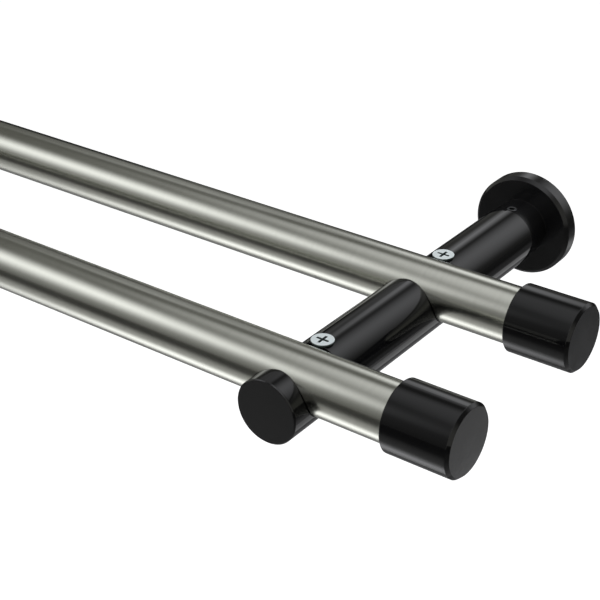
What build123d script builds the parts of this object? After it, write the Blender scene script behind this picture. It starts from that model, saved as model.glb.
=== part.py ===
"""Double curtain pole: two brushed steel tubes held one behind the other on two round bracket arms.

X runs along the poles, Y runs towards the wall and Z is up. The wall is the plane Y = 0, and the origin is on
it, halfway between the two brackets and level with their arms. All sizes are in millimetres.
"""

import os
from math import radians, tan

from build123d import *

# poles
pole_diameter = 20.0
pole_wall = 1.0
pole_length = 1200.0
rear_pole_from_wall = 77.0
front_pole_from_wall = 149.0
pole_rise = 5.5  # both poles' axes above the arms' axes

# bracket arms
bracket_inset = 60.0  # from a pole's end to the arm's axis
arm_diameter = 22.5
arm_overhang = 16.0  # arm beyond the front pole's axis
arm_edge = 0.4
saddle_clearance = 0.1  # around the pole, on the radius
saddle_back_gap = 0.9  # between the pole's back and the saddle's upright rear wall
spigot_diameter = 14.0
spigot_length = 11.0
spigot_edge = 0.5

# wall discs
disc_diameter = 39.5
disc_thickness = 6.5
disc_front_edge = 1.2
disc_back_edge = 0.3
hub_step = 0.5  # the hub's radius is this much less than the arm's
hub_length = 11.0
spigot_clearance = 0.1  # around the spigot, on the radius
spigot_end_gap = 0.5  # from the spigot's end to the floor of the hub
wall_screw_hole = 5.5
wall_screw_sink = 10.5

# clamp screws behind the poles
countersink_angle = 90.0  # their heads, their seats and the wall screws' seats
clamp_diameter = 4.0
clamp_length = 12.0
clamp_head_diameter = 7.7
clamp_head_rim = 0.6
clamp_head_proud = 0.5  # top of the head above the arm's crest
clamp_head_edge = 0.12
clamp_behind_pole = 3.6  # from the pole's back to the screw's axis
clamp_hole_spare = 1.5  # tapped hole below the screw's tip
cross_span = 4.1
cross_width = 0.6
cross_depth = 1.5
cross_taper = 5.0

# grub screws
hub_grub_diameter = 4.0
hub_grub_length = 4.0
hub_grub_socket = 2.0
hub_grub_from_disc = 8.2
cap_grub_diameter = 3.0
cap_grub_length = 3.0
cap_grub_socket = 1.5
cap_grub_from_rim = 8.0
grub_sunk = 0.15  # outer end below the surface around it
grub_socket_depth = 1.6
screw_edge = 0.35  # broken edges of every screw's ends
screw_clearance = 0.05  # around every screw, on the radius

# end caps
cap_wall = 1.95
cap_overlap = 21.5  # tube inside the cap
cap_end_wall = 2.0
cap_end_edge = 1.0
cap_rim_edge = 0.25
cap_clearance = 0.05  # around the tube, on the radius

pole_radius = pole_diameter / 2
arm_radius = arm_diameter / 2
spigot_radius = spigot_diameter / 2
disc_radius = disc_diameter / 2
hub_radius = arm_radius - hub_step
cap_radius = pole_radius + cap_clearance + cap_wall
clamp_radius = clamp_diameter / 2
clamp_head_radius = clamp_head_diameter / 2
clamp_hole_radius = clamp_radius + screw_clearance
hub_grub_hole_radius = hub_grub_diameter / 2 + screw_clearance
cap_grub_hole_radius = cap_grub_diameter / 2 + screw_clearance

bracket_spacing = pole_length - 2 * bracket_inset
shoulder_from_wall = disc_thickness + hub_length
spigot_end_from_wall = shoulder_from_wall - spigot_length
hub_floor_from_wall = spigot_end_from_wall - spigot_end_gap
arm_end_from_wall = front_pole_from_wall + arm_overhang
saddle_back_from_pole = pole_radius + saddle_back_gap
clamp_from_pole = pole_radius + clamp_behind_pole
clamp_top = arm_radius + clamp_head_proud
clamp_rim_bottom = clamp_top - clamp_head_rim
clamp_cone_height = (clamp_head_radius - clamp_radius) / tan(radians(countersink_angle / 2))
clamp_neck = clamp_rim_bottom - clamp_cone_height
clamp_tip = clamp_top - clamp_length
hub_grub_from_wall = disc_thickness + hub_grub_from_disc
hub_grub_top = hub_radius - grub_sunk
cap_grub_bottom = pole_rise - cap_radius + grub_sunk
cap_grub_from_end = cap_overlap - cap_grub_from_rim
cap_grub_from_middle = pole_length / 2 - cap_grub_from_end

rows = {"front": front_pole_from_wall, "rear": rear_pole_from_wall}
sides = {"left": -1, "right": 1}

os.makedirs("parts", exist_ok=True)


def side_view(x, from_wall=0):
    """Upright plane across the poles at x: its first axis runs away from the wall, its second runs up."""
    return Plane(origin=(x, -from_wall, 0), x_dir=(0, -1, 0), z_dir=(-1, 0, 0))


def facing_room(x, from_wall):
    """Upright plane across an arm at x, at a distance from the wall."""
    return Plane(origin=(x, -from_wall, 0), x_dir=(1, 0, 0), z_dir=(0, -1, 0))


def save(part, name):
    """Label a finished piece and write it as one STEP file."""
    part.label = name
    export_step(part, f"parts/{name}.step")


def grub_screw(seat, diameter, length, socket):
    """Headless screw whose outer end lies on the seat plane, with a hexagon socket there."""
    with BuildPart() as screw:
        with BuildSketch(seat):
            Circle(diameter / 2)
        extrude(amount=-length)
        chamfer(screw.edges().filter_by(GeomType.CIRCLE), length=screw_edge)
        with BuildSketch(seat):
            RegularPolygon(socket / 2, side_count=6, major_radius=False)
        extrude(amount=-grub_socket_depth, mode=Mode.SUBTRACT)
    return screw.part


# Poles: plain tubes, with a hole in the underside near each end for the cap's grub screw.
for row, from_wall in rows.items():
    with BuildPart() as pole:
        with BuildSketch(Plane.YZ.offset(-pole_length / 2)):
            with Locations((-from_wall, pole_rise)):
                Circle(pole_radius)
                Circle(pole_radius - pole_wall, mode=Mode.SUBTRACT)
        extrude(amount=pole_length)
        with BuildSketch(Plane.XY.offset(pole_rise)):
            with Locations(*[(sign * cap_grub_from_middle, -from_wall) for sign in sides.values()]):
                Circle(cap_grub_hole_radius)
        extrude(amount=-pole_diameter, mode=Mode.SUBTRACT)
    save(pole.part, f"{row}_pole")


# End caps: turned cups with a broad broken edge round the closed end, each locked by a grub screw from below.
for row, from_wall in rows.items():
    for side, sign in sides.items():
        rim_x = sign * (pole_length / 2 - cap_overlap)
        rim = Plane(origin=(rim_x, -from_wall, pole_rise), z_dir=(sign, 0, 0))
        cap_axis = Axis(rim.origin, rim.z_dir)
        grub_x = sign * cap_grub_from_middle
        with BuildPart() as cap:
            with BuildSketch(rim):
                Circle(cap_radius)
            extrude(amount=cap_overlap + cap_end_wall)
            chamfer(cap.edges().filter_by(GeomType.CIRCLE).sort_by(cap_axis).last, length=cap_end_edge)
            with BuildSketch(rim):
                Circle(pole_radius + cap_clearance)
            extrude(amount=cap_overlap, mode=Mode.SUBTRACT)
            chamfer(cap.faces().sort_by(cap_axis).first.edges(), length=cap_rim_edge)
            with BuildSketch(Plane.XY.offset(pole_rise)):
                with Locations((grub_x, -from_wall)):
                    Circle(cap_grub_hole_radius)
            extrude(amount=-2 * cap_radius, mode=Mode.SUBTRACT)
        save(cap.part, f"{row}_{side}_cap")

        seat = Plane(origin=(grub_x, -from_wall, cap_grub_bottom), z_dir=(0, 0, -1))
        save(
            grub_screw(seat, cap_grub_diameter, cap_grub_length, cap_grub_socket),
            f"{row}_{side}_cap_grub_screw",
        )


for side, sign in sides.items():
    arm_x = sign * bracket_spacing / 2
    arm_axis = Axis((arm_x, 0, 0), (0, -1, 0))

    # Bracket arm: a turned bar with a spigot at the wall end. Each saddle is bored across it for the pole, open
    # at the top because the poles lie higher than the arm, and milled upright behind the pole, where the
    # countersunk seat of the clamp screw breaks into it.
    with BuildPart() as arm:
        with BuildSketch(side_view(arm_x)):
            with BuildLine():
                Polyline(
                    (spigot_end_from_wall, 0),
                    (spigot_end_from_wall, spigot_radius),
                    (shoulder_from_wall, spigot_radius),
                    (shoulder_from_wall, arm_radius),
                    (arm_end_from_wall, arm_radius),
                    (arm_end_from_wall, 0),
                    close=True,
                )
            make_face()
        revolve(axis=arm_axis)
        turned_edges = arm.edges().filter_by(GeomType.CIRCLE).group_by(arm_axis)
        chamfer(turned_edges[0], length=spigot_edge)
        chamfer([turned_edges[1].sort_by(SortBy.RADIUS).last, turned_edges[-1].last], length=arm_edge)
        with BuildSketch(side_view(arm_x)):
            for from_wall in rows.values():
                with Locations((from_wall, pole_rise)):
                    Circle(pole_radius + saddle_clearance)
                    Rectangle(saddle_back_from_pole, arm_diameter, align=(Align.MAX, Align.MIN))
        extrude(amount=arm_diameter, both=True, mode=Mode.SUBTRACT)
        for from_wall in rows.values():
            with Locations((arm_x, clamp_from_pole - from_wall, clamp_rim_bottom)):
                CounterSinkHole(
                    radius=clamp_hole_radius,
                    counter_sink_radius=clamp_head_radius + screw_clearance,
                    depth=clamp_length - clamp_head_rim + clamp_hole_spare,
                    counter_sink_angle=countersink_angle,
                )
        with BuildSketch(Plane.XY.offset(hub_grub_top - hub_grub_length)):
            with Locations((arm_x, -hub_grub_from_wall)):
                Circle(hub_grub_hole_radius)
        extrude(amount=spigot_radius, mode=Mode.SUBTRACT)
    save(arm.part, f"{side}_bracket_arm")

    # Wall disc: a rosette and its hub turned in one, bored for the spigot, with a countersunk hole in the floor
    # for the wall screw and a tapped hole in the top for the grub screw.
    with BuildPart() as disc:
        with BuildSketch(facing_room(arm_x, 0)):
            Circle(disc_radius)
        extrude(amount=disc_thickness)
        disc_edges = disc.edges().filter_by(GeomType.CIRCLE).sort_by(arm_axis)
        chamfer(disc_edges.last, length=disc_front_edge)
        chamfer(disc_edges.first, length=disc_back_edge)
        with BuildSketch(facing_room(arm_x, disc_thickness)):
            Circle(hub_radius)
        extrude(amount=hub_length)
        with Locations(facing_room(arm_x, shoulder_from_wall)):
            Hole(spigot_radius + spigot_clearance, depth=shoulder_from_wall - hub_floor_from_wall)
        with Locations(facing_room(arm_x, hub_floor_from_wall)):
            CounterSinkHole(wall_screw_hole / 2, wall_screw_sink / 2, counter_sink_angle=countersink_angle)
        with BuildSketch(Plane.XY):
            with Locations((arm_x, -hub_grub_from_wall)):
                Circle(hub_grub_hole_radius)
        extrude(amount=arm_radius, mode=Mode.SUBTRACT)
    save(disc.part, f"{side}_wall_disc")

    hub_seat = Plane(origin=(arm_x, -hub_grub_from_wall, hub_grub_top), z_dir=(0, 0, 1))
    save(
        grub_screw(hub_seat, hub_grub_diameter, hub_grub_length, hub_grub_socket),
        f"{side}_hub_grub_screw",
    )

    # Clamp screws: countersunk heads with a low rim and a tapered cross recess in line with the arm.
    for row, from_wall in rows.items():
        screw_from_wall = from_wall - clamp_from_pole
        with BuildPart() as clamp:
            with BuildSketch(side_view(arm_x, screw_from_wall)):
                with BuildLine():
                    Polyline(
                        (0, clamp_tip),
                        (clamp_radius, clamp_tip),
                        (clamp_radius, clamp_neck),
                        (clamp_head_radius, clamp_rim_bottom),
                        (clamp_head_radius, clamp_top),
                        (0, clamp_top),
                        close=True,
                    )
                make_face()
            revolve(axis=Axis((arm_x, -screw_from_wall, 0), (0, 0, 1)))
            chamfer(clamp.edges().filter_by(GeomType.CIRCLE).sort_by(Axis.Z).first, length=screw_edge)
            chamfer(clamp.edges().filter_by(GeomType.CIRCLE).sort_by(Axis.Z).last, length=clamp_head_edge)
            with BuildSketch(Plane((arm_x, -screw_from_wall, clamp_top))):
                Rectangle(cross_span, cross_width)
                Rectangle(cross_width, cross_span)
            extrude(amount=-cross_depth, taper=cross_taper, mode=Mode.SUBTRACT)
        save(clamp.part, f"{side}_{row}_clamp_screw")
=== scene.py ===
from math import cos, pi, radians, sin

import bmesh
import bpy
from mathutils import Matrix, Quaternion, Vector


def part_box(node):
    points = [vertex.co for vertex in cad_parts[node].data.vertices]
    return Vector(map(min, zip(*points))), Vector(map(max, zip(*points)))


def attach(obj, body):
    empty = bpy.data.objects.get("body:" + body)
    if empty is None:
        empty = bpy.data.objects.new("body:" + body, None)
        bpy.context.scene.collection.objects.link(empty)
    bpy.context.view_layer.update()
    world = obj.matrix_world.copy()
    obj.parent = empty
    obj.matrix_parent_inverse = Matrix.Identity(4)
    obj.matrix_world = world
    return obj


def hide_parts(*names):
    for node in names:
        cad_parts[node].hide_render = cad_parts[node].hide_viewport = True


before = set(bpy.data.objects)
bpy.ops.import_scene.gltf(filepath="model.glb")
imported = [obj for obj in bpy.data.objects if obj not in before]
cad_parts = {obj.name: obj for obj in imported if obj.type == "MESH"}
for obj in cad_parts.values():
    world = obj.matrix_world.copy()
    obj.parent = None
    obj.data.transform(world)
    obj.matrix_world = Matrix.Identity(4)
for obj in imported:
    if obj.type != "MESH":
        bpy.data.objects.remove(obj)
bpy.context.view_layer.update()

# POLES
# Two drawn steel tubes, 20 mm across. A belt brushed them while they turned, so the fine lines run round the
# tube and the light stretches along it. They lie in the arms' saddles, one behind the other.

pole_steel = (0.635, 0.64, 0.58, 1.0)
pole_steel_in_lines = (0.53, 0.535, 0.48, 1.0)
steel_smooth = 0.17
steel_rough = 0.23
line_height = 0.00002
noise_from = 0.3  # nearly all of a noise lies between these two
noise_to = 0.7
# The painted shadow line beside the arms and caps: its colour, how far it looks for a neighbour, and where it
# starts and ends.
painted_gap_shadow = (0.02, 0.02, 0.02, 1.0)
gap_shadow_reach = 0.0015
gap_shadow_full_at = 0.60
gap_shadow_ends_at = 0.72


def feed(tree, source, socket):
    """Links a socket to another node's output, or gives it a plain value."""
    if isinstance(source, bpy.types.NodeSocket):
        tree.links.new(source, socket)
    else:
        socket.default_value = source


def fill(tree, node, **sources):
    """Feeds a node's sockets by their names, written with _ for a space."""
    for socket_name, source in sources.items():
        feed(tree, source, node.inputs[socket_name.replace("_", " ")])


def add_node(tree, kind, settings=(), **sources):
    node = tree.nodes.new(kind)
    for setting, choice in dict(settings).items():
        setattr(node, setting, choice)
    fill(tree, node, **sources)
    return node


def add_group(tree, group, **sources):
    """Places a node group and returns its outputs."""
    return add_node(tree, "ShaderNodeGroup", {"node_tree": group}, **sources).outputs


def of_vectors(tree, operation, *vectors):
    """What a Vector Math node makes of its inputs."""
    node = add_node(tree, "ShaderNodeVectorMath", {"operation": operation})
    for vector, socket in zip(vectors, node.inputs):
        feed(tree, vector, socket)
    return node.outputs["Value" if operation in ("DOT_PRODUCT", "LENGTH") else "Vector"]


def spread(tree, source, low, high, start=0.0, end=1.0):
    """Carries a mask from the range start to end over to the range low to high."""
    node = add_node(tree, "ShaderNodeMapRange", Value=source, From_Min=start, From_Max=end, To_Min=low,
                    To_Max=high)
    return node.outputs["Result"]


def tint(tree, mask, bare, covered):
    """Blends two colours by a mask that is 0 where the first shows and 1 where the second does."""
    node = add_node(tree, "ShaderNodeMix", {"data_type": "RGBA"})
    for source, socket in ((mask, node.inputs[0]), (bare, node.inputs[6]), (covered, node.inputs[7])):
        feed(tree, source, socket)
    return node.outputs[2]


def new_group(name, inputs, outputs):
    group = bpy.data.node_groups.new(name, "ShaderNodeTree")
    for socket_name, value in inputs:
        socket = group.interface.new_socket(socket_name, in_out="INPUT", socket_type="NodeSocketFloat")
        socket.default_value = value
    for socket_name, kind in outputs:
        group.interface.new_socket(socket_name, in_out="OUTPUT", socket_type=kind)
    return group, group.nodes.new("NodeGroupInput").outputs, group.nodes.new("NodeGroupOutput")


def new_finish(name):
    material = bpy.data.materials.new(name)
    material.use_nodes = True
    return material, material.node_tree, material.node_tree.nodes["Principled BSDF"]


# Brushed lines: stretched noise gives the lines themselves, slow noise gives the patches where the belt
# pressed more or less. The inputs are in waves per metre.
brushed_lines, wanted, given = new_group(
    "brushed lines", [("Across lines", 5200.0), ("Along lines", 90.0), ("Patches", 22.0)],
    [("Lines", "NodeSocketFloat"), ("Pressed", "NodeSocketFloat")])
place = add_node(brushed_lines, "ShaderNodeTexCoord").outputs["Object"]
stretch = add_node(brushed_lines, "ShaderNodeCombineXYZ", X=wanted["Across lines"], Y=wanted["Along lines"],
                   Z=wanted["Along lines"])
stretched = of_vectors(brushed_lines, "MULTIPLY", place, stretch.outputs["Vector"])
fine = add_node(brushed_lines, "ShaderNodeTexNoise", Vector=stretched, Scale=1.0, Detail=3.0, Roughness=0.6)
slow = add_node(brushed_lines, "ShaderNodeTexNoise", Vector=place, Scale=wanted["Patches"], Detail=2.0,
                Roughness=0.5)
fill(brushed_lines, given, Lines=fine.outputs["Fac"], Pressed=slow.outputs["Fac"])

brushed_tube, tree, shader = new_finish("brushed steel tube")
brushing = add_group(tree, brushed_lines)
steel = tint(tree, brushing["Lines"], pole_steel_in_lines, pole_steel)
# Painted shadow: where the tube comes out of an arm or a cap, the gap's shade is painted into the steel's
# colour as a thin black line, from how closed in the surface is.
openness = add_node(tree, "ShaderNodeAmbientOcclusion", {"samples": 16}, Distance=gap_shadow_reach).outputs["AO"]
clear_of_gap_shadow = spread(tree, openness, 0.0, 1.0, gap_shadow_full_at, gap_shadow_ends_at)
scratches = add_node(tree, "ShaderNodeBump", Strength=0.5, Distance=line_height, Height=brushing["Lines"])
fill(tree, shader, Base_Color=tint(tree, clear_of_gap_shadow, painted_gap_shadow, steel), Metallic=1.0,
     Roughness=spread(tree, brushing["Pressed"], steel_smooth, steel_rough, noise_from, noise_to),
     Normal=scratches.outputs["Normal"])

for node_name in ("front_pole", "rear_pole"):
    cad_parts[node_name].data.materials[0] = brushed_tube

# END CAPS
# Four turned caps with a rounded edge at the closed end, pushed over the ends of the tubes. They are sprayed
# with glossy black lacquer, which lies a little thinner on the edges.

cap_black = (0.0045, 0.0045, 0.005, 1.0)
cap_thin_black = (0.012, 0.012, 0.013, 1.0)
lacquer_refraction = 1.44
lacquer_thin_at = 0.80
lacquer_thick_from = 0.995
ripple_height = 0.00002
haze_from = 0.35
haze_patches = 95.0

# Lacquer film: the soft unevenness of sprayed paint as a height, and where it dried hazy as a mask. Ripples
# and patches are in waves per metre.
lacquer_film, wanted, given = new_group(
    "lacquer film", [("Ripples", 650.0)], [("Height", "NodeSocketFloat"), ("Haze", "NodeSocketFloat")])
place = add_node(lacquer_film, "ShaderNodeTexCoord").outputs["Object"]
ripple = add_node(lacquer_film, "ShaderNodeTexNoise", Vector=place, Scale=wanted["Ripples"], Detail=2.0,
                  Roughness=0.45)
haze = add_node(lacquer_film, "ShaderNodeTexNoise", Vector=place, Scale=haze_patches, Detail=4.0,
                Roughness=0.6)
fill(lacquer_film, given, Height=ripple.outputs["Fac"], Haze=haze.outputs["Fac"])

# Worn edges: the edges where a finish lies thin or is rubbed, as a mask, and a normal that breaks them. The
# mask compares the true surface with one whose edges are rounded over Width. Where the cosine of the angle
# between the two is down to Worn at, the finish is quite worn, and from Whole at up it is whole.
worn_edges, wanted, given = new_group(
    "worn edges", [("Width", 0.0002), ("Worn at", 0.80), ("Whole at", 0.995)],
    [("Worn", "NodeSocketFloat"), ("Broken edge", "NodeSocketVector")])
rounded = add_node(worn_edges, "ShaderNodeBevel", {"samples": 6}, Radius=wanted["Width"]).outputs["Normal"]
true_shape = add_node(worn_edges, "ShaderNodeNewGeometry").outputs["Normal"]
alike = of_vectors(worn_edges, "DOT_PRODUCT", rounded, true_shape)
fill(worn_edges, given, Worn=spread(worn_edges, alike, 1.0, 0.0, wanted["Worn at"], wanted["Whole at"]),
     Broken_edge=rounded)


def black_lacquer_finish(name, black, thin_black, ripples, gloss, hazy, edge_width):
    material, tree, shader = new_finish(name)
    film = add_group(tree, lacquer_film, Ripples=ripples)
    edges = add_group(tree, worn_edges, Width=edge_width, Worn_at=lacquer_thin_at,
                      Whole_at=lacquer_thick_from)
    uneven = add_node(tree, "ShaderNodeBump", Strength=0.15, Distance=ripple_height, Height=film["Height"],
                      Normal=edges["Broken edge"])
    fill(tree, shader, Base_Color=tint(tree, edges["Worn"], black, thin_black), IOR=lacquer_refraction,
         Roughness=spread(tree, film["Haze"], gloss, hazy, haze_from, noise_to),
         Normal=uneven.outputs["Normal"])
    return material


cap_lacquer = black_lacquer_finish("black cap lacquer", cap_black, cap_thin_black, ripples=650.0, gloss=0.06,
                                   hazy=0.10, edge_width=0.0002)
for side in ("left", "right"):
    for row in ("front", "rear"):
        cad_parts[f"{row}_{side}_cap"].data.materials[0] = cap_lacquer

# CAP GRUB SCREWS
# A blackened M3 grub screw on the underside of each cap goes through the cap's wall into a hole in the tube
# and keeps the cap on. It has a hexagon socket, a rolled thread and a cup at its point.

cap_screw_socket = 0.0015
cap_screw_pitch = 0.0005
cap_screw_thread = 0.0015
socket_depth = 0.0016
socket_broken_edge = 0.00012
thread_depth = 0.54  # in pitches
rubbed_width = 0.00018
steel_black = (0.10, 0.102, 0.106, 1.0)
steel_grey = (0.30, 0.305, 0.31, 1.0)
# painted shade inside the hexagon socket
painted_socket_shade = (0.012, 0.012, 0.012, 1.0)
round_steps = 120
turns = [2 * pi * step / round_steps for step in range(round_steps)]


def circle(radius):
    return [radius] * round_steps


def wider(loop, extra):
    return [far + extra for far in loop]


def hexagon(across_flats):
    """Distances from the middle to a hexagon's edge, all round."""
    return [across_flats / 2 / cos((turn + pi / 6) % (pi / 3) - pi / 6) for turn in turns]


def thread_loops(radius, pitch, top, bottom, steps=9):
    """Loops of a right-hand thread with flat crests, which fades out at both of its ends."""
    loops = []
    count = int((top - bottom) / pitch * steps)
    for index in range(count + 1):
        height = top + (bottom - top) * index / count
        fade = min(1.0, (top - height) / (0.7 * pitch), (height - bottom) / (0.7 * pitch))
        depth = thread_depth * pitch * max(fade, 0.0)
        loop = []
        for turn in turns:
            wave = abs(((height / pitch + turn / (2 * pi)) % 1.0) * 2 - 1)
            loop.append(radius - depth * min(max((wave - 0.12) / 0.68, 0.0), 1.0))
        loops.append((loop, height))
    return loops


def turned_screw(name, first_height, loops, last_height, sharp_from=32.0):
    """A closed mesh through loops round the Z axis, each given as distances from the middle and a height."""
    shape = bmesh.new()
    first = shape.verts.new((0, 0, first_height))
    rings = [[shape.verts.new((far * cos(turn), far * sin(turn), height)) for far, turn in zip(loop, turns)]
             for loop, height in loops]
    last = shape.verts.new((0, 0, last_height))
    for step in range(round_steps):
        after = (step + 1) % round_steps
        shape.faces.new((first, rings[0][after], rings[0][step]))
        shape.faces.new((last, rings[-1][step], rings[-1][after]))
        for upper, lower in zip(rings, rings[1:]):
            shape.faces.new((upper[step], upper[after], lower[after], lower[step]))
    bmesh.ops.recalc_face_normals(shape, faces=shape.faces)
    for face in shape.faces:
        face.smooth = True
    for edge in shape.edges:
        edge.smooth = edge.calc_face_angle(0.0) < radians(sharp_from)
    mesh = bpy.data.meshes.new(name)
    shape.to_mesh(mesh)
    shape.free()
    return mesh


def grub_screw_mesh(name, thread_radius, pitch, length, across_flats):
    """A grub screw with its socket's face at height 0 and its point below."""
    core = thread_radius - thread_depth * pitch
    socket = hexagon(across_flats)
    mouth = wider(socket, socket_broken_edge)
    face = [(circle(across_flats * 0.42), -socket_depth), (wider(socket, -0.00004), -socket_depth + 0.0001),
            (socket, -0.0003), (socket, -socket_broken_edge), (mouth, 0.0),
            (circle((core + max(mouth)) / 2), 0.0), (circle(core), 0.0), (circle(core + 0.00008), -0.00003)]
    thread = thread_loops(thread_radius, pitch, -0.0003, -length + 0.0004)
    cup_point = [(circle(core), -length + 0.0003), (circle(core * 0.72), -length + 0.00003),
                 (circle(core * 0.66), -length), (circle(core * 0.60), -length + 0.00006)]
    return turned_screw(name, -socket_depth - 0.0004, face + thread + cup_point, -length + 0.0005)


def node_height(node_name):
    low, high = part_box(node_name)
    return high[2] - low[2]


def screw_in_place(name, mesh, node_name, face_down=False):
    """Puts a screw where its CAD node is, with its face at the node's top, or underneath if it looks down."""
    low, high = (Vector(corner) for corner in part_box(node_name))
    screw = bpy.data.objects.new(name, mesh)
    bpy.context.scene.collection.objects.link(screw)
    screw.location = ((low.x + high.x) / 2, (low.y + high.y) / 2, low.z if face_down else high.z)
    screw.rotation_euler = (pi if face_down else 0, 0, 0)
    return screw


def of_numbers(tree, operation, *numbers):
    """What a Math node makes of its inputs."""
    node = add_node(tree, "ShaderNodeMath", {"operation": operation})
    for number, socket in zip(numbers, node.inputs):
        feed(tree, number, socket)
    return node.outputs["Value"]


# Screw recess: a mask of what lies below the screw's face. It paints shade there, a darker colour in the
# socket or cross recess and under the head, where little light comes in.
screw_recess, wanted, given = new_group(
    "screw recess", [("From depth", 0.0), ("To depth", 0.0001), ("Reach", 0.001)],
    [("Below face", "NodeSocketFloat")])
place = add_node(screw_recess, "ShaderNodeTexCoord").outputs["Object"]
height = add_node(screw_recess, "ShaderNodeSeparateXYZ", Vector=place).outputs["Z"]
depth = of_numbers(screw_recess, "MULTIPLY", height, -1.0)
deep_enough = spread(screw_recess, depth, 0.0, 1.0, wanted["From depth"], wanted["To depth"])
off_axis = of_vectors(screw_recess, "MULTIPLY", place, (1.0, 1.0, 0.0))
far_out = of_vectors(screw_recess, "LENGTH", off_axis)
near_enough = of_numbers(screw_recess, "LESS_THAN", far_out, wanted["Reach"])
fill(screw_recess, given, Below_face=of_numbers(screw_recess, "MULTIPLY", deep_enough, near_enough))

blackened_steel, tree, shader = new_finish("blackened screw steel")
place = add_node(tree, "ShaderNodeTexCoord").outputs["Object"]
stain = add_node(tree, "ShaderNodeTexNoise", Vector=place, Scale=1500.0, Detail=4.0, Roughness=0.65)
rubbed = add_group(tree, worn_edges, Width=rubbed_width, Worn_at=0.72, Whole_at=0.99)["Worn"]
# Painted shade: the hexagon socket below the face is coloured near black.
recess = add_group(tree, screw_recess, From_depth=0.00003, To_depth=0.0002, Reach=0.00135)["Below face"]
fill(tree, shader, Base_Color=tint(tree, recess, tint(tree, rubbed, steel_black, steel_grey), painted_socket_shade),
     Roughness=spread(tree, stain.outputs["Fac"], 0.28, 0.46, noise_from, noise_to),
     Metallic=spread(tree, rubbed, 0.6, 1.0))

cap_screw_mesh = grub_screw_mesh("cap grub screw", cap_screw_thread, cap_screw_pitch,
                                 node_height("front_right_cap_grub_screw"), cap_screw_socket)
cap_screw_mesh.materials.append(blackened_steel)
for side in ("left", "right"):
    for row in ("front", "rear"):
        node_name = f"{row}_{side}_cap_grub_screw"
        cap_screw = screw_in_place(f"{side}_{row}_cap_set_screw", cap_screw_mesh, node_name, face_down=True)
        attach(cap_screw, "root")
        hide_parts(node_name)

# BRACKET ARMS
# Two solid aluminium bars, turned and then milled: two round saddles open at the top, a flat and a
# countersunk tapped seat behind each. Their black lacquer is a little glossier than the caps' and less even.

arm_black = (0.0055, 0.0055, 0.006, 1.0)
arm_thin_black = (0.016, 0.016, 0.017, 1.0)
arm_lacquer = black_lacquer_finish("black arm lacquer", arm_black, arm_thin_black, ripples=520.0, gloss=0.04,
                                   hazy=0.08, edge_width=0.0003)
for side in ("left", "right"):
    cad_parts[f"{side}_bracket_arm"].data.materials[0] = arm_lacquer

# WALL DISCS
# A turned rosette with a hub for each arm, in satin black. The wall screw's head is hidden in the hub, under
# the arm's spigot.

disc_black = (0.007, 0.007, 0.0075, 1.0)
disc_thin_black = (0.0095, 0.0095, 0.01, 1.0)
disc_lacquer = black_lacquer_finish("black disc lacquer", disc_black, disc_thin_black, ripples=480.0,
                                    gloss=0.16, hazy=0.22, edge_width=0.00015)
for side in ("left", "right"):
    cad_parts[f"{side}_wall_disc"].data.materials[0] = disc_lacquer

# HUB GRUB SCREWS
# A blackened M4 grub screw in the top of each hub holds the arm's spigot. It is turned in with a hexagon key
# until its face lies just below the hub.

hub_screw_socket = 0.002
hub_screw_pitch = 0.0007
hub_screw_thread = 0.002
hub_screw_mesh = grub_screw_mesh("hub grub screw", hub_screw_thread, hub_screw_pitch,
                                 node_height("right_hub_grub_screw"), hub_screw_socket)
hub_screw_mesh.materials.append(blackened_steel)
for side in ("left", "right"):
    node_name = f"{side}_hub_grub_screw"
    hub_screw = screw_in_place(f"{side}_hub_set_screw", hub_screw_mesh, node_name)
    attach(hub_screw, "root")
    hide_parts(node_name)

# CLAMP SCREWS
# A zinc-plated countersunk M4 screw with a cross recess stands behind each pole. Its cone wedges into the
# seat in the arm and its head reaches over the pole's back.

clamp_head = 0.00385
clamp_rim = 0.0006
clamp_thread = 0.002
clamp_pitch = 0.0007
cross_deep = 0.0015
zinc_white = (0.92, 1.0, 1.0, 1.0)
zinc_shade = (0.87, 0.955, 0.96, 1.0)
zinc_smooth = 0.30
zinc_rough = 0.42
zinc_broken_edge = 0.00004
# painted shade for all that lies below the head's face
painted_recess_shade = (0.06, 0.08, 0.075, 1.0)


def cross(reach, half_width, heart):
    """Distances from the middle to the edge of a cross with rounded inner corners, all round."""
    loop = []
    for turn in turns:
        off_wing = abs((turn + pi / 4) % (pi / 2) - pi / 4)
        wing_end = reach / cos(off_wing)
        wing_side = half_width / max(sin(off_wing), 1e-6)
        loop.append(max(min(wing_end, wing_side), heart))
    return loop


clamp_long = node_height("right_front_clamp_screw")
cone_end = -clamp_rim - (clamp_head - clamp_thread)
mouth = cross(0.00232, 0.00046, 0.00072)
clamp_recess = [
    (circle(0.00025), -cross_deep), (cross(0.00165, 0.00030, 0.00050), -cross_deep * 0.95),
    (cross(0.00200, 0.00036, 0.00060), -cross_deep * 0.6),
    (cross(0.00222, 0.00040, 0.00068), -cross_deep * 0.25),
    (mouth, -0.00006), (wider(mouth, 0.00001), -0.00001), (wider(mouth, 0.00003), 0.0)]
clamp_top = [
    (wider(mouth, 0.00007), 0.0), (circle(0.00275), 0.0), (circle(0.0032), 0.0),
    (circle(clamp_head - 0.00013), 0.0), (circle(clamp_head - 0.00009), 0.0),
    (circle(clamp_head - 0.00003), -0.00003), (circle(clamp_head), -0.00009)]
clamp_cone = [
    (circle(clamp_head), -clamp_rim + 0.00003), (circle(clamp_head - 0.00004), -clamp_rim - 0.00002),
    (circle(clamp_thread + 0.00006), cone_end + 0.00006), (circle(clamp_thread - 0.00012), cone_end - 0.0002)]
clamp_thread_loops = thread_loops(clamp_thread, clamp_pitch, cone_end - 0.0004, -clamp_long + 0.0004)
clamp_end = [
    (circle(clamp_thread - 0.00042), -clamp_long + 0.0003), (circle(clamp_thread - 0.0007), -clamp_long)]
clamp_mesh = turned_screw("clamp screw", -cross_deep - 0.0003,
                          clamp_recess + clamp_top + clamp_cone + clamp_thread_loops + clamp_end, -clamp_long)

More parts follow.
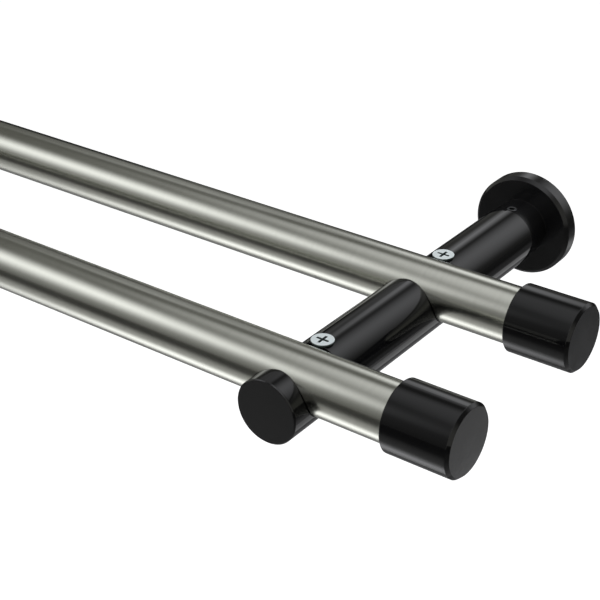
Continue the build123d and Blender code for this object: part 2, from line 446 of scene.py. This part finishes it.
zinc_plate, tree, shader = new_finish("bright zinc plate")
place = add_node(tree, "ShaderNodeTexCoord").outputs["Object"]
crystals = add_node(tree, "ShaderNodeTexNoise", Vector=place, Scale=2600.0, Detail=3.0,
                    Roughness=0.6).outputs["Fac"]
broken_edge = add_group(tree, worn_edges, Width=zinc_broken_edge)["Broken edge"]
grit = add_node(tree, "ShaderNodeBump", Strength=0.1, Distance=0.00001, Height=crystals, Normal=broken_edge)
# Painted shade: the cross recess, the head's rim and the cone under it are coloured dark.
recess = add_group(tree, screw_recess, From_depth=0.000005, To_depth=0.00006, Reach=0.0039)["Below face"]
fill(tree, shader, Base_Color=tint(tree, recess, tint(tree, crystals, zinc_shade, zinc_white), painted_recess_shade),
     Roughness=spread(tree, crystals, zinc_smooth, zinc_rough, noise_from, noise_to), Metallic=0.15,
     Normal=grit.outputs["Normal"])
clamp_mesh.materials.append(zinc_plate)

for side in ("left", "right"):
    for row in ("front", "rear"):
        node_name = f"{side}_{row}_clamp_screw"
        clamp_screw = screw_in_place(f"{node_name}_with_thread", clamp_mesh, node_name)
        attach(clamp_screw, "root")
        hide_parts(node_name)

# FLOOR
# A pale floor 1.4 m below the pole. It shows white behind the object, also in metal and lacquer, and takes
# the object's shadow.

floor_below = 1.4
floor_lift = 0.9  # white, less what the lamps give the floor
plain_white = (1.0, 1.0, 1.0, 1.0)


def seen_by_eye_or_mirror(tree):
    """1 for what the camera, a mirror or a glass shows, and 0 for light that falls on things."""
    ray = add_node(tree, "ShaderNodeLightPath").outputs
    seen = of_numbers(tree, "MAXIMUM", ray["Is Camera Ray"], ray["Is Glossy Ray"])
    return of_numbers(tree, "MAXIMUM", seen, ray["Is Transmission Ray"])


def stage_piece(name, shape, at, material, mirrored_only):
    """Sets up a piece of the studio, which may show in reflections only."""
    mesh = bpy.data.meshes.new(name)
    shape.to_mesh(mesh)
    shape.free()
    mesh.materials.append(material)
    piece = bpy.data.objects.new(name, mesh)
    piece.location = at
    piece.visible_camera = not mirrored_only
    piece.visible_diffuse = not mirrored_only
    piece.visible_shadow = not mirrored_only
    bpy.context.scene.collection.objects.link(piece)
    return piece


pale, tree, shader = new_finish("pale floor")
fill(tree, shader, Base_Color=(0.8, 0.8, 0.8, 1.0), Roughness=0.9, Emission_Color=plain_white,
     Emission_Strength=spread(tree, seen_by_eye_or_mirror(tree), 0.0, floor_lift))
shape = bmesh.new()
bmesh.ops.create_circle(shape, cap_ends=True, segments=96, radius=30.0)
stage_piece("floor", shape, (0, 0, -floor_below), pale, mirrored_only=False)

# REFLECTOR CARDS
# Cards that show in reflections only. The widest lies round a bright middle of the floor, dark towards the
# wall and lighter in the room, as if the pole hung over a white table. The smaller ones lie over that table,
# and a black flag stands upright behind the pole, on its left.

card_dull = 0.9
table_middle = (-1.29, 2.06)
table_fades_from = -0.66
table_gone_at = 4.71
surround_at_wall = (0.12, 0.12, 0.12, 1.0)
surround_in_room = (0.55, 0.55, 0.52, 1.0)
flag_faces = (-0.70, 0.71, -0.07)


def flat_card(name, material, wide, deep, at, above_floor):
    shape = bmesh.new()
    bmesh.ops.create_grid(shape, x_segments=4, y_segments=4, size=0.5)
    for corner in shape.verts:
        corner.co.x *= wide
        corner.co.y *= deep
    return stage_piece(name, shape, (at[0], at[1], -floor_below + above_floor), material, mirrored_only=True)


def grey_card(name, grey, wide, deep, at, above_floor, glow=0.0):
    material, tree, shader = new_finish(name)
    fill(tree, shader, Base_Color=(grey, grey, grey, 1.0), Roughness=card_dull, Emission_Color=plain_white,
         Emission_Strength=glow)
    return flat_card(name, material, wide, deep, at, above_floor)


# The surround is lighter in front of the object and to its right, but dimmer again far out in the room. All
# distances are from the table's middle.
surround, tree, shader = new_finish("grey surround")
place = add_node(tree, "ShaderNodeTexCoord").outputs["Object"]
across_room = add_node(tree, "ShaderNodeSeparateXYZ", Vector=place).outputs
in_front = spread(tree, across_room["Y"], 1.0, 0.0, -4.0, -1.0)
to_the_right = spread(tree, across_room["X"], 0.0, 0.8, 3.5, 7.0)
not_far_out = spread(tree, across_room["Y"], 0.4, 1.0, -4.7, -3.6)
lit = of_numbers(tree, "MULTIPLY", of_numbers(tree, "MAXIMUM", in_front, to_the_right), not_far_out)
from_middle = of_vectors(tree, "LENGTH", place)
fill(tree, shader, Base_Color=tint(tree, lit, surround_at_wall, surround_in_room), Roughness=card_dull,
     Alpha=spread(tree, from_middle, 0.0, 1.0, table_fades_from, table_gone_at))
flat_card("grey surround", surround, wide=60.0, deep=60.0, at=table_middle, above_floor=0.02)

grey_card("table's shade", 0.82, wide=6.7, deep=6.4, at=(-2.41, 3.24), above_floor=0.01)
grey_card("white strip", 1.0, wide=0.75, deep=1.5, at=(1.15, 1.6), above_floor=0.03, glow=0.3)
grey_card("dark corner", 0.5, wide=1.0, deep=1.1, at=(1.98, 2.45), above_floor=0.04)
flag = grey_card("black flag", 0.0, wide=0.7, deep=1.4, at=(-1.66, 2.0), above_floor=floor_below - 0.2)
flag.rotation_mode = "QUATERNION"
flag.rotation_quaternion = Vector(flag_faces).to_track_quat("Z", "Y")

# TENT
# A tent of grey cloth round the set, for reflections only: dim behind the pole and in front of it, and pale
# to the right, far to the left and in front on the right, where it is open.

tent_dim = 0.12
tent_pale = 0.62
cloth_white = (1.0, 1.0, 0.92, 1.0)
# Each opening: the way to it, and the cosines at which the cloth starts to be paler and is palest.
openings = (((0.92, -0.39, 0.0), 0.76, 0.95), ((-1.0, 0.0, 0.0), 0.76, 0.95),
            ((0.6, -0.8, 0.0), 0.66, 0.90))

cloth, tree, shader = new_finish("tent cloth")
place = add_node(tree, "ShaderNodeTexCoord").outputs["Object"]
way_out = of_vectors(tree, "NORMALIZE", place)
glow = tent_dim
for way_to_opening, pale_from, pale_at in openings:
    towards_it = of_vectors(tree, "DOT_PRODUCT", way_out, way_to_opening)
    paler = spread(tree, towards_it, tent_dim, tent_pale, pale_from, pale_at)
    glow = of_numbers(tree, "MAXIMUM", glow, paler)
fill(tree, shader, Base_Color=(0.0, 0.0, 0.0, 1.0), Specular_IOR_Level=0.0, Emission_Color=cloth_white,
     Emission_Strength=glow)
shape = bmesh.new()
bmesh.ops.create_icosphere(shape, subdivisions=4, radius=20.0)
stage_piece("tent", shape, (0, 0, 0), cloth, mirrored_only=True)

# STUDIO LIGHT
# Soft boxes on stands round the object, a low one under it, and a dim even room. The narrow ones behind it
# draw the streaks along the arms and the tubes.

room_glow = 0.12
lit_spot = Vector((0.45, -0.1, 0.0))
cool_white = (0.99, 1.0, 1.03)


def softbox(name, towards, wide, high, soft_edge, glow, distance=2.4, upright=(0, 0, 1)):
    """An area lamp that faces the object. Its glow is the brightness of its middle, where 1 is white. Each
    side fades out over soft_edge, and is half as bright where the width or height ends."""
    lamp_data = bpy.data.lights.new(name, "AREA")
    lamp_data.shape = "RECTANGLE"
    lamp_data.size = wide + soft_edge
    lamp_data.size_y = high + soft_edge
    lamp_data.energy = glow * pi * lamp_data.size * lamp_data.size_y
    lamp_data.color = cool_white
    lamp_data.use_nodes = True
    tree = lamp_data.node_tree
    place = add_node(tree, "ShaderNodeNewGeometry").outputs["Parametric"]
    across_and_up = add_node(tree, "ShaderNodeSeparateXYZ", Vector=place).outputs
    fades = []
    for share, size in zip(across_and_up, (lamp_data.size, lamp_data.size_y)):
        off_middle = of_numbers(tree, "ABSOLUTE", of_numbers(tree, "SUBTRACT", share, 0.5))
        fade = spread(tree, off_middle, 1.0, 0.0, 0.5 - soft_edge / size, 0.5)
        fade.node.interpolation_type = "SMOOTHSTEP"
        fades.append(fade)
    emission = next(node for node in tree.nodes if node.type == "EMISSION")
    fill(tree, emission, Strength=of_numbers(tree, "MULTIPLY", *fades))
    lamp = bpy.data.objects.new(name, lamp_data)
    back = Vector(towards).normalized()
    right = Vector(upright).cross(back).normalized()
    lamp.rotation_euler = Matrix((right, back.cross(right), back)).transposed().to_euler()
    lamp.location = lit_spot + back * distance
    lamp.visible_camera = False
    bpy.context.scene.collection.objects.link(lamp)


softbox("key softbox", (-0.67, -0.505, 0.54), wide=1.39, high=0.93, soft_edge=1.30, glow=1.45)
softbox("key fill softbox", (-0.62, -0.68, 0.39), wide=1.68, high=1.85, soft_edge=1.30, glow=0.21)
softbox("overhead softbox", (0.04, -0.08, 1.0), wide=2.83, high=3.4, soft_edge=1.30, glow=0.69)
softbox("back softbox", (-0.36, 0.79, 0.49), wide=0.36, high=0.95, soft_edge=0.70, glow=1.60)
softbox("back left glow", (-0.60, 0.70, 0.38), wide=0.40, high=0.50, soft_edge=0.55, glow=0.25)
softbox("upper left glow", (-0.59, 0.58, 0.56), wide=0.65, high=0.32, soft_edge=0.50, glow=0.44)
softbox("back right softbox", (0.30, 0.72, 0.63), wide=1.30, high=2.8, soft_edge=1.30, glow=1.30)
softbox("front softbox", (0.12, -0.72, 0.68), wide=1.5, high=1.2, soft_edge=0.9, glow=1.4)
softbox("low softbox", (-0.43, -0.24, -0.87), wide=0.74, high=0.38, soft_edge=0.52, glow=1.54, distance=1.25,
        upright=(0, 1, 0))

world = bpy.data.worlds.new("pale room")
world.use_nodes = True
seen = seen_by_eye_or_mirror(world.node_tree)
fill(world.node_tree, world.node_tree.nodes["Background"], Color=plain_white,
     Strength=spread(world.node_tree, seen, room_glow, 1.0))
bpy.context.scene.world = world
bpy.context.scene.view_settings.view_transform = "Standard"

# CAMERA
# It stands in front of the pole's right end, a little to its right and above it, and looks down towards the
# wall at the photo's angle.

camera_data = bpy.data.cameras.new("camera")
camera_data.lens = 85.215
camera_data.sensor_width = 36.0
camera = bpy.data.objects.new("camera", camera_data)
camera.location = (0.766423, -0.446615, 0.241202)
view_direction = Vector((-0.526262, 0.696296, -0.488078))
camera_roll = radians(-0.55)
camera.rotation_mode = "QUATERNION"
camera.rotation_quaternion = view_direction.to_track_quat("-Z", "Y") @ Quaternion((0, 0, 1), camera_roll)
bpy.context.scene.collection.objects.link(camera)
bpy.context.scene.camera = camera
